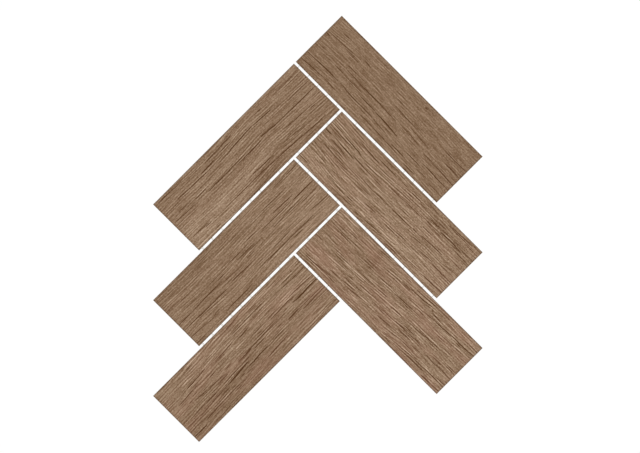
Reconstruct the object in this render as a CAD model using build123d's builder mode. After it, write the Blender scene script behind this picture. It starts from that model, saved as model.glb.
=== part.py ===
"""A sheet of herringbone mosaic: six wood-look porcelain tiles glued to one glass-fibre net.

Millimetres. The origin is the middle of the sheet's outline, on the underside of the net, and the
decorated faces look up. Three tiles run down to the right and three run down to the left, and where
they meet, along the middle of the sheet, is called the spine.
"""
from build123d import *
from math import sqrt
import os

# The tiles: sawn from a pressed porcelain plank, with the plank's keying grooves on their backs
tile_length = 153.0
tile_width = 50.0
tile_thickness = 9.0
arris = 0.4  # ground bevel round the decorated face
groove_pitch = 12.0
groove_width = 3.0  # at the tile's back
groove_depth = 0.6
groove_wall_angle = 60.0  # from the tile's back

# The herringbone
rows = 3  # tiles on each side of the spine
joint_width = 2.0

# The net: strands along and across each tile, and midway between the joints
strands_per_width = 5
strand_width = 1.2
strand_thickness = 0.5
net_margin = 1.0  # from the sheet's outer edges in to the cut edge of the net

# One cell of the layout is a tile with half a joint all round
cell_length = tile_length + joint_width
cell_width = tile_width + joint_width
mesh_pitch = cell_width / strands_per_width
strands_per_length = round(cell_length / mesh_pitch)
grooves_per_tile = int(tile_width // groove_pitch)

# Each tile's own X axis runs from its spine end down to its outer end, so all cells are alike
side_offset = cell_length / 2 / sqrt(2)
step_down = cell_width / sqrt(2)
seats = {}
for row in range(rows):
    right_height = (rows - 0.5 - 2 * row) * step_down
    left_height = right_height - step_down
    seats[f"right_{row + 1}"] = Location((side_offset, right_height, 0), (0, 0, -45))
    seats[f"left_{row + 1}"] = Location((-side_offset, left_height, 0), (0, 0, -135))

os.makedirs("parts", exist_ok=True)

# The tiles stand on the net
for name, seat in seats.items():
    bed = Plane(seat).offset(strand_thickness)
    spine_end = Plane(bed.origin - bed.x_dir * tile_length / 2, x_dir=bed.y_dir, z_dir=bed.x_dir)
    with BuildPart() as tile:
        with BuildSketch(bed):
            Rectangle(tile_length, tile_width)
        extrude(amount=tile_thickness)
        chamfer(tile.faces().sort_by(Axis.Z)[-1].edges(), length=arris)
        with BuildSketch(spine_end):
            with GridLocations(groove_pitch, 0, grooves_per_tile, 1):
                Trapezoid(groove_width, groove_depth, groove_wall_angle, align=(Align.CENTER, Align.MIN))
        extrude(amount=tile_length, mode=Mode.SUBTRACT)
    tile.part.label = f"tile_{name}"
    export_step(tile.part, f"parts/{tile.part.label}.step")

# The whole net's outline: all the cells together, cut back from the outer edges
with BuildSketch() as net_outline:
    with Locations(*seats.values()):
        Rectangle(cell_length, cell_width)
    offset(amount=-(joint_width / 2 + net_margin), kind=Kind.INTERSECTION)

# One net node lies under each tile and meets its neighbours in the middle of the joints.
# The strands are fused where they cross, and the lattice is counted from the spine in every cell.
for name, seat in seats.items():
    with BuildPart() as net:
        with BuildSketch():
            with Locations(seat):
                with GridLocations(0, mesh_pitch, 1, strands_per_width):
                    Rectangle(cell_length, strand_width)
                with Locations(((strands_per_length * mesh_pitch - cell_length) / 2, 0)):
                    with GridLocations(mesh_pitch, 0, strands_per_length, 1):
                        Rectangle(strand_width, cell_width)
            add(net_outline.sketch, mode=Mode.INTERSECT)
        extrude(amount=strand_thickness)
    net.part.label = f"net_{name}"
    export_step(net.part, f"parts/{net.part.label}.step")
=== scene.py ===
# %% [markdown]
# # A herringbone mosaic sheet with an oak-grain glaze
#
# The object is a sheet of six porcelain tiles on a white glass-fibre net. Each tile was sawn from a
# larger pressed plank whose face is printed and embossed like brushed oak. The sizes come from the
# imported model, which this script loads first and never moves. What it adds is the finish: the relief
# and colour of the grain, the sawn sides, the ribbed backs and the woven yarns of the net.

import math

import bmesh
import bpy
import numpy as np
from mathutils import Matrix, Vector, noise


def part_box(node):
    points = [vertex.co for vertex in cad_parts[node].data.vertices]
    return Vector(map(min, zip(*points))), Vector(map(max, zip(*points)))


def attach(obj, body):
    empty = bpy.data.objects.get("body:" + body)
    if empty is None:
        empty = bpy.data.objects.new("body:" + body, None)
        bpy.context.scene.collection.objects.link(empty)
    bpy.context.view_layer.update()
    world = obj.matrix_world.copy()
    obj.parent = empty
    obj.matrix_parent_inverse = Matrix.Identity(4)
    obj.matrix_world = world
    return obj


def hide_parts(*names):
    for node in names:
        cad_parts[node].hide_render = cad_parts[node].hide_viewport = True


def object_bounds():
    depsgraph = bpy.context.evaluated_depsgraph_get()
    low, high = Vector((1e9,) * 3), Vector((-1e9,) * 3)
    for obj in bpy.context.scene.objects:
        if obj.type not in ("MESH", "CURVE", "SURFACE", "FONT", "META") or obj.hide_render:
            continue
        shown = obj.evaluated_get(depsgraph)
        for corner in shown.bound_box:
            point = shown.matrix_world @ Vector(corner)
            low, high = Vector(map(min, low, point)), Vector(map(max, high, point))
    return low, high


MM = 0.001
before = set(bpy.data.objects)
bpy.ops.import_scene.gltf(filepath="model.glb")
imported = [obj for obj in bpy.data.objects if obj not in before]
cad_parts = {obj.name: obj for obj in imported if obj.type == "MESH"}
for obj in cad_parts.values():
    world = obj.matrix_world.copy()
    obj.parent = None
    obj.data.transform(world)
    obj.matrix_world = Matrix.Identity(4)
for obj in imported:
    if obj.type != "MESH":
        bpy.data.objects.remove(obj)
cad_low, cad_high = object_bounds()
print("sheet, mm:", [round(size / MM, 1) for size in cad_high - cad_low])

# %% [markdown]
# ## The camera
#
# The picture to match looks straight down with no perspective: all six tiles measure the same, and
# every edge is at 45 degrees. A long lens would come near that, but an orthographic camera is exact,
# and its scale is simply the width of the picture on the floor. That width follows from the sheet's
# real width and its width in pixels, and so does the small step from the picture's middle to the
# sheet's middle.

# %% The camera
PICTURE = (640, 453)  # pixels
SHEET_WIDTH_PX = 329.55
SHEET_MIDDLE_PX = (317.84, 228.85)
CAMERA_HEIGHT = 1.0


def placed(name, data):
    """A new object with that data, in the scene."""
    made = bpy.data.objects.new(name, data)
    bpy.context.scene.collection.objects.link(made)
    return made


pixel = (cad_high.x - cad_low.x) / SHEET_WIDTH_PX
camera_data = bpy.data.cameras.new("camera")
camera_data.type = "ORTHO"
camera_data.ortho_scale = PICTURE[0] * pixel
camera = placed("camera", camera_data)
camera.location = (
    (PICTURE[0] / 2 - SHEET_MIDDLE_PX[0]) * pixel,
    (SHEET_MIDDLE_PX[1] - PICTURE[1] / 2) * pixel,
    CAMERA_HEIGHT,
)
bpy.context.scene.camera = camera
print("one pixel is", round(pixel / MM, 4), "mm")

# %% [markdown]
# ## Light
#
# A tile catalogue lights a sheet evenly, so that no joint fills with shadow. Lamps at the sides would
# draw dark lines along every joint. Here a high sun shines straight down into the joints, and a
# white world adds the soft part. Together they bring a level of about one to an upward face, at which
# a colour renders as it is written.

# %% The sun
SUN_SHARE = 0.85  # of the light on an upward face; the world gives the rest
SUN_SPREAD = math.radians(1.5)

sun_data = bpy.data.lights.new("sun", "SUN")
sun_data.energy = SUN_SHARE * math.pi
sun_data.angle = SUN_SPREAD
placed("sun", sun_data)
bpy.context.scene.view_settings.view_transform = "Standard"
print("light on an upward face:", SUN_SHARE, "from the sun and", round(1 - SUN_SHARE, 2), "from the world")

# %% [markdown]
# ## A helper for shader maths
#
# Node trees are hard to read in code when each sum takes four lines. A `Tap` wraps an output socket,
# and ordinary operators on taps add Math nodes, so a mask can be written as `1 - rib * 0.5`. Every
# other node comes from one method, `node`.

# %% The shader helper
class Tap:
    """An output socket of a node tree. Arithmetic on taps adds Math nodes to the tree."""

    def __init__(self, tree, socket=None):
        self.tree = tree
        self.socket = socket

    def node(self, kind, settings=None, inputs=None, out=0):
        """A new node of that kind, with its settings made first, and a tap on one of its outputs."""
        made = self.tree.nodes.new(kind)
        for name, value in (settings or {}).items():
            if name == "stops":
                self.set_stops(made.color_ramp, value)
            else:
                setattr(made, name, value)
        for name, value in (inputs or {}).items():
            if isinstance(value, Tap):
                self.tree.links.new(value.socket, made.inputs[name])
            else:
                made.inputs[name].default_value = value
        return Tap(self.tree, made.outputs[out] if made.outputs else None)

    @staticmethod
    def set_stops(ramp, stops):
        while len(ramp.elements) < len(stops):
            ramp.elements.new(1)
        for element, (place, colour) in zip(ramp.elements, stops):
            element.position = place
            element.color = colour

    def maths(self, operation, *values):
        return self.node("ShaderNodeMath", {"operation": operation}, dict(enumerate(values)))

    def __add__(self, other):
        return self.maths("ADD", self, other)

    def __sub__(self, other):
        return self.maths("SUBTRACT", self, other)

    def __rsub__(self, other):
        return self.maths("SUBTRACT", other, self)

    def __mul__(self, other):
        return self.maths("MULTIPLY", self, other)

    __radd__ = __add__
    __rmul__ = __mul__

    def ramp(self, stops):
        """This number as a colour, by the stops of a ramp."""
        return self.node("ShaderNodeValToRGB", {"stops": stops}, {"Fac": self})

    def between(self, low, high):
        """0 where this is below low, 1 above high, and smooth in between."""
        limits = {"Value": self, "From Min": low, "From Max": high}
        return self.node("ShaderNodeMapRange", {"interpolation_type": "SMOOTHSTEP"}, limits)

    def noise(self, steps, seed, detail=0, roughness=0.5):
        """Noise about 0, from roughly -1 to 1, that changes over steps metres along each axis."""
        scaled = self.node(
            "ShaderNodeVectorMath",
            {"operation": "MULTIPLY_ADD"},
            {0: self, 1: [1 / step for step in steps], 2: (seed, 2 * seed, 3 * seed)},
        )
        cloud = scaled.node(
            "ShaderNodeTexNoise",
            inputs={"Vector": scaled, "Scale": 1, "Detail": detail, "Roughness": roughness},
        )
        return (cloud - 0.5) * 3

    def mixed(self, first, second):
        """One colour, first where this is 0 and second where it is 1."""
        mix = self.tree.nodes.new("ShaderNodeMix")
        mix.data_type = "RGBA"
        ends = [socket for socket in mix.inputs if socket.enabled and socket.name in "AB"]
        for socket, value in zip([mix.inputs[0], *ends], [self, first, second]):
            if isinstance(value, Tap):
                self.tree.links.new(value.socket, socket)
            else:
                socket.default_value = value
        return Tap(self.tree, next(socket for socket in mix.outputs if socket.enabled))


# %% [markdown]
# ## A helper for finishes
#
# All four finishes of the sheet end in the same way: in a colour, a roughness and a bump on a plain
# surface. Only what leads up to them differs, so the end is written once. Colours are given as they
# look on a screen and turned into the linear values that a shader works with.

# %% Materials and colours
def new_material(name):
    """An empty material, and a tap to start its nodes from."""
    material = bpy.data.materials.new(name)
    material.use_nodes = True
    material.node_tree.nodes.clear()
    print("material", name)
    return material, Tap(material.node_tree)


def show(tap, shader):
    """Links a shader to the output of the tree."""
    tap.node("ShaderNodeOutputMaterial", inputs={"Surface": shader})


def show_surface(tap, colour, *, roughness, gloss, relief, strength, depth):
    """Shows a surface of that colour, roughness and gloss, with a bump where relief is high."""
    bump = tap.node("ShaderNodeBump", inputs={"Height": relief, "Strength": strength, "Distance": depth})
    show(tap, tap.node("ShaderNodeBsdfPrincipled", inputs={
        "Base Color": colour, "Roughness": roughness, "Specular IOR Level": gloss, "Normal": bump}))


def srgb(red, green, blue):
    """A colour given as 0 to 255 on a screen, as the linear colour that a shader takes."""
    shares = [level / 255 for level in (red, green, blue)]
    return [s / 12.92 if s <= 0.04045 else ((s + 0.055) / 1.055) ** 2.4 for s in shares] + [1]


# %% [markdown]
# ## World and floor
#
# The floor is white by its own material: what the camera sees of it is mostly an even glow, mixed with
# enough plain diffuse to keep the sheet's soft shadow. The world looks just as white to the camera, but
# it lights the sheet with no more than the share that the sun leaves over.

# %% World and floor
FLOOR_GLOW = 0.88  # of what the camera sees of the floor
FLOOR_LEVEL = 1.02  # just over white, so that the floor renders as clean white
FLOOR_PAINT = (0.95, 0.95, 0.95, 1)
FLOOR_SIZE = 6.0
WHITE = (1, 1, 1, 1)

world = bpy.data.worlds.new("world")
world.use_nodes = True
world.node_tree.nodes.clear()
sky = Tap(world.node_tree)


def seen_directly(tap):
    """1 for rays that come from the camera, or from it by a reflection or through glass."""
    seen = [tap.node("ShaderNodeLightPath", out=ray)
            for ray in ("Is Camera Ray", "Is Glossy Ray", "Is Transmission Ray")]
    return (seen[0] + seen[1] + seen[2]).between(0, 1)


sky_level = seen_directly(sky) * SUN_SHARE + (1 - SUN_SHARE)
glow = sky.node("ShaderNodeBackground", inputs={"Color": WHITE, "Strength": sky_level})
sky.node("ShaderNodeOutputWorld", inputs={"Surface": glow})
bpy.context.scene.world = world

floor_mesh = bpy.data.meshes.new("floor")
bm = bmesh.new()
bmesh.ops.create_grid(bm, x_segments=1, y_segments=1, size=FLOOR_SIZE / 2)
bm.to_mesh(floor_mesh)
bm.free()
floor = placed("floor", floor_mesh)
floor_material, paint = new_material("floor_white")
plain = paint.node("ShaderNodeBsdfDiffuse", inputs={"Color": FLOOR_PAINT})
white = paint.node("ShaderNodeEmission", inputs={"Color": WHITE, "Strength": FLOOR_LEVEL})
glowing = seen_directly(paint) * FLOOR_GLOW
show(paint, paint.node("ShaderNodeMixShader", inputs={0: glowing, 1: plain, 2: white}))
floor_mesh.materials.append(floor_material)

# %% [markdown]
# ## Where each tile lies
#
# A grain is easiest to work on along the tile, so each tile gets its own flat frame: u runs along it
# from the end at its left in the picture, and v across it from its upper edge, like a line of text.
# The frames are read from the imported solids: the middle of the tile's box, and a turn of 45 degrees
# to one side or the other.

# %% The tiles' own frames
TURNS = {"right": math.radians(-45), "left": math.radians(45)}
ROWS = (1, 2, 3)
TOUCH = 0.01 * MM  # points nearer than this lie at one height

seats = {}
for side, turn in TURNS.items():
    for row in ROWS:
        low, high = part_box(f"tile_{side}_{row}")
        middle = (low + high) / 2
        middle.z = 0
        seats[f"{side}_{row}"] = Matrix.Translation(middle) @ Matrix.Rotation(turn, 4, "Z")


def points_of(node, seat):
    """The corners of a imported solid, in the frame of its tile."""
    back = seat.inverted()
    return np.array([back @ vertex.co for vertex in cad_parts[node].data.vertices])


corners = points_of("tile_right_1", seats["right_1"])
tile_length, tile_width, _ = np.ptp(corners, axis=0)
tile_top = corners[:, 2].max()
tile_back = corners[:, 2].min()
face_corners = corners[corners[:, 2] > tile_top - TOUCH]
arris = (tile_width - np.ptp(face_corners[:, 1])) / 2
step_down = seats["right_1"].translation - seats["right_2"].translation
tile_pitch = step_down.length / math.sqrt(2)  # a tile's width and one joint
print("tile, mm:", round(tile_length / MM, 2), round(tile_width / MM, 2), "arris", round(arris / MM, 2))

# %% [markdown]
# ## The grain, tile by tile
#
# No two tiles of such a sheet are alike, because each is sawn from another place of the plank. Noise
# alone gives an even, anonymous grain, so the marks that the eye finds first are given one by one: the
# `dark` ones are pores, and the `pale` ones shallow furrows, where the brush combed out the soft wood.
# A mark is six numbers: u and v where it starts, u and v where it ends, its width, all in millimetres,
# and its depth, which is 1 for a pore that holds a full measure of stain.
#
# `shades` are broad soft areas, lighter or darker as a streak of heartwood is. An area is five numbers:
# u and v of one corner, u and v of the other, and how many levels of 255 it adds. The points of `rise`
# are u and v too: they say how far the fibres of the noise wander across the tile.
#
# `tone` is the tile's mean level from 0, a pore, to 1, bare white wood. `contrast` is the strength of
# its finest fibres, `bands` that of its slow changes across the board, and `lines` that of its thin
# dark lines. `brushed` is how much the steel brush has combed it, `length` how long its fibres run in
# millimetres, and `pink` how much of it blushes.

# %% A place for the grains
GRAINS = {}


def plan_grain(name, **grain):
    """Keeps the grain of one tile, and says how many marks and soft areas it has."""
    GRAINS[name] = grain
    print(name, "has", len(grain["dark"]), "dark marks,", len(grain["pale"]), "pale ones and",
          len(grain["shades"]), "soft areas")


# %% The first tile on the right
# The calmest and darkest tile: long fine pores, gathered in its lower half.
plan_grain(
    "right_1",
    tone=0.434, contrast=0.87, bands=0.2, lines=0.20, brushed=0.15,
    length=12, pink=0.0,
    rise=[(0, 1.6), (30, 0.0), (85, 0.6), (153, 2.0)],
    dark=[
        (4, 15.1, 30, 14.4, 0.8, 0.5), (0, 17.2, 5, 17.5, 1.0, 0.8), (23, 16.7, 35, 16.4, 0.7, 0.5),
        (10, 8.6, 17, 8.4, 1.0, 0.5), (37, 11.6, 44, 12.6, 0.8, 0.75), (75, 14.7, 83, 15.1, 0.8, 0.7),
        (29, 23.5, 40, 23.4, 0.7, 0.35), (33, 26.8, 87, 27.7, 0.9, 0.75), (24, 30.5, 32, 30.6, 0.8, 0.6),
        (35, 30.8, 53, 31.0, 0.8, 0.6), (54, 33.6, 71, 33.7, 0.9, 0.6), (70, 33.9, 96, 35.4, 1.1, 1.1),
        (0, 37.9, 34, 37.4, 0.9, 0.75), (36, 37.6, 57, 38.7, 0.9, 0.75), (56, 38.7, 72, 38.1, 0.8, 0.6),
        (73, 39.2, 90, 40.1, 0.7, 0.65), (0, 44.8, 24, 43.4, 0.9, 0.9), (23, 43.4, 38, 44.3, 0.8, 0.5),
        (63, 43.5, 77, 44.0, 0.9, 0.75), (77, 43.9, 104, 45.1, 0.8, 0.6), (75, 19.9, 103, 20.8, 0.8, 0.6),
        (98, 23.7, 115, 24.2, 0.8, 0.4), (136, 24.1, 153, 24.6, 0.9, 0.9), (90, 27.2, 101, 27.6, 0.8, 0.5),
        (100, 27.6, 114, 28.7, 0.9, 0.55), (119, 30.7, 131, 30.5, 0.8, 0.5),
        (129, 30.5, 153, 32.0, 0.9, 0.75), (123, 36.2, 153, 37.2, 0.8, 0.75),
        (109, 39.1, 124, 39.4, 0.9, 0.75), (96, 43.0, 111, 43.1, 0.8, 0.75), (124, 42.6, 136, 42.5, 0.8, 0.6),
        (137, 44.2, 149, 44.0, 0.8, 0.5), (113, 47.0, 126, 46.8, 0.9, 0.95),
        (130, 17.6, 153, 17.4, 0.9, 0.75), (95, 4.5, 97, 4.5, 1.4, 0.9), (115, 49.2, 124, 49.3, 0.9, 0.35),
    ],
    pale=[
        (98, 26.4, 130, 27.6, 0.8, 0.2), (20, 45.8, 60, 46.2, 0.9, 0.4), (137, 25.1, 152, 25.6, 0.8, 0.5),
    ],
    shades=[
        (-10, 22, 66, 34, -3), (-10, 38, 18, 50, -6), (28, 44, 54, 50, 4), (105, 10, 145, 26, -3),
        (80, 43, 128, 52, 5), (25, 14, 58, 22, -4),
    ],
)

# %% The second tile on the right
# Short strong pores at the spine, and a dark board edge in its far corner.
plan_grain(
    "right_2",
    tone=0.516, contrast=1.05, bands=0.4, lines=0.26, brushed=0.5,
    length=14, pink=0.25,
    rise=[(0, -1.2), (35, 1.0), (50, 1.0), (105, -1.0), (153, -1.2)],
    dark=[
        (27, 6.3, 48, 7.9, 0.9, 0.95), (48, 5.5, 66, 5.7, 0.9, 0.95), (14, 11.4, 35, 13.4, 0.9, 1.35),
        (0, 13.0, 28, 14.1, 1.0, 0.9), (0, 17.8, 7, 18.1, 1.1, 1.4), (17, 18.2, 33, 19.5, 1.1, 1.1),
        (9, 20.3, 26, 22.2, 1.0, 1.1), (30, 17.8, 50, 18.7, 0.8, 0.6), (4, 27.2, 36, 28.1, 0.9, 0.6),
        (0, 31.0, 14, 32.4, 0.8, 0.6), (0, 36.4, 12, 36.8, 0.8, 0.3), (26, 42.4, 47, 43.3, 0.8, 0.8),
        (0, 46.1, 11, 46.3, 0.8, 1.3), (65, 15.4, 82, 14.6, 0.9, 0.75), (80, 14.6, 103, 14.1, 0.9, 0.75),
        (105, 13.6, 113, 13.7, 0.9, 0.75), (66, 5.4, 78, 5.4, 0.9, 0.45), (82, 6.0, 91, 5.9, 0.9, 0.6),
        (80, 8.4, 86, 7.9, 1.0, 0.6), (71, 12.0, 89, 11.4, 0.8, 0.5), (105, 10.7, 116, 10.4, 1.0, 0.75),
        (119, 12.0, 131, 11.2, 1.0, 1.15), (130, 11.2, 142, 12.1, 0.9, 1.1), (118, 3.0, 144, 2.6, 0.9, 0.9),
        (133, 14.2, 153, 15.0, 1.0, 0.5), (106, 18.4, 117, 18.4, 0.9, 0.6), (60, 25.8, 80, 25.6, 1.1, 0.4),
        (78, 25.6, 101, 25.9, 0.8, 0.6), (110, 24.3, 132, 23.6, 1.0, 1.05), (117, 33.5, 131, 32.6, 0.8, 1),
        (131, 33.8, 153, 34.2, 0.9, 1.3), (61, 37.5, 74, 36.6, 0.9, 1.2), (70, 46.5, 89, 45.4, 1.0, 0.75),
        (93, 48.6, 108, 47.0, 1.0, 0.8), (111, 45.4, 131, 44.2, 0.8, 0.6), (130, 45.2, 153, 43.9, 1.0, 0.9),
        (10, 2.3, 30, 3.5, 0.8, 0.35), (51, 1.9, 65, 2.2, 0.8, 0.7), (39, 15.2, 56, 15.8, 0.8, 0.4),
        (50, 18.7, 62, 19.2, 0.8, 0.5), (38, 20.7, 49, 20.8, 0.8, 0.35), (13, 24.7, 24, 24.1, 0.8, 0.75),
        (44, 25.3, 60, 26.2, 0.8, 0.85), (24, 29.5, 35, 29.4, 0.8, 0.8), (48, 28.9, 62, 29.7, 0.8, 0.4),
        (24, 32.0, 31, 31.5, 0.9, 0.5), (12, 36.3, 20, 36.4, 0.8, 0.8), (25, 37.3, 43, 36.4, 0.8, 0.5),
        (13, 39.8, 21, 39.0, 0.9, 0.3), (48, 43.0, 55, 43.0, 0.9, 0.85), (36, 46.6, 58, 46.1, 0.8, 0.95),
        (60, 46.9, 70, 46.6, 0.9, 0.5), (0, 10.7, 14, 11.3, 0.9, 0.8), (4, 16.3, 18, 16.5, 0.8, 0.5),
        (98, 3.1, 110, 3.2, 0.8, 0.5), (138, 4.7, 151, 5.1, 0.8, 0.45), (91, 6.5, 99, 6.7, 0.8, 0.5),
        (116, 10.2, 130, 9.7, 0.7, 0.3), (130, 9.8, 153, 10.9, 0.8, 0.35), (112, 14.5, 124, 14.2, 0.8, 0.7),
        (117, 18.1, 143, 17.5, 0.8, 0.3), (85, 15.6, 91, 16.1, 0.8, 0.5), (82, 20.9, 100, 20.4, 0.8, 0.25),
        (102, 24.7, 106, 25.2, 0.9, 0.9), (138, 27.8, 148, 27.6, 0.9, 0.45), (106, 29.5, 116, 28.9, 0.9, 1.0),
        (96, 36.0, 106, 35.5, 0.9, 0.8), (83, 37.6, 101, 38.0, 0.8, 0.5), (119, 43.2, 128, 42.8, 0.8, 0.3),
    ],
    pale=[
        (54, 38.5, 69, 38.3, 1.0, 1.1), (0, 11.2, 14, 12.1, 0.9, 0.95), (36, 34.4, 54, 34.0, 0.8, 0.6),
        (87, 43.7, 109, 42.5, 0.9, 1.1), (77, 42.4, 104, 40.8, 0.8, 0.85), (112, 44.8, 126, 43.6, 0.8, 0.6),
        (117, 36.8, 130, 36.6, 0.8, 0.35), (107, 19.2, 121, 19.1, 0.8, 0.6),
        (112, 25.4, 130, 24.5, 0.8, 0.35), (24, 28.6, 36, 28.6, 0.8, 0.5), (17, 35.7, 24, 35.8, 0.9, 0.7),
        (30, 35.3, 42, 35.3, 0.8, 0.5), (10, 37.9, 20, 37.8, 0.9, 0.6), (27, 42.3, 47, 42.0, 0.8, 0.5),
        (64, 44.4, 70, 44.4, 1.4, 0.9), (11, 45.1, 24, 45.1, 0.9, 0.6), (60, 24.3, 78, 24.3, 1.2, 0.6),
        (10, 12.7, 25, 13.0, 0.8, 0.6), (87, 16.9, 92, 17.0, 0.9, 0.5), (115, 20.8, 130, 20.7, 1.3, 0.5),
        (120, 10.6, 132, 10.5, 0.7, 0.6), (135, 43.2, 152, 43.1, 0.8, 0.7), (128, 47.0, 140, 46.5, 0.9, 0.7),
        (107, 40.5, 112, 40.6, 0.9, 0.6),
    ],
    shades=[
        (98, 4, 160, 13, -9), (-10, 22, 22, 35, -6), (-10, 38, 150, 45, 5), (80, 16, 150, 21, 4),
        (-10, 0, 100, 9, -3), (20, 45, 118, 52, -5), (-10, 45, 13, 52, 12), (120, 44, 160, 52, 7),
        (117, 29, 160, 35, 6), (44, 15, 80, 20, -6), (34, 29, 50, 32, -6), (116, 27, 132, 29, -6),
    ],
)

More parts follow.
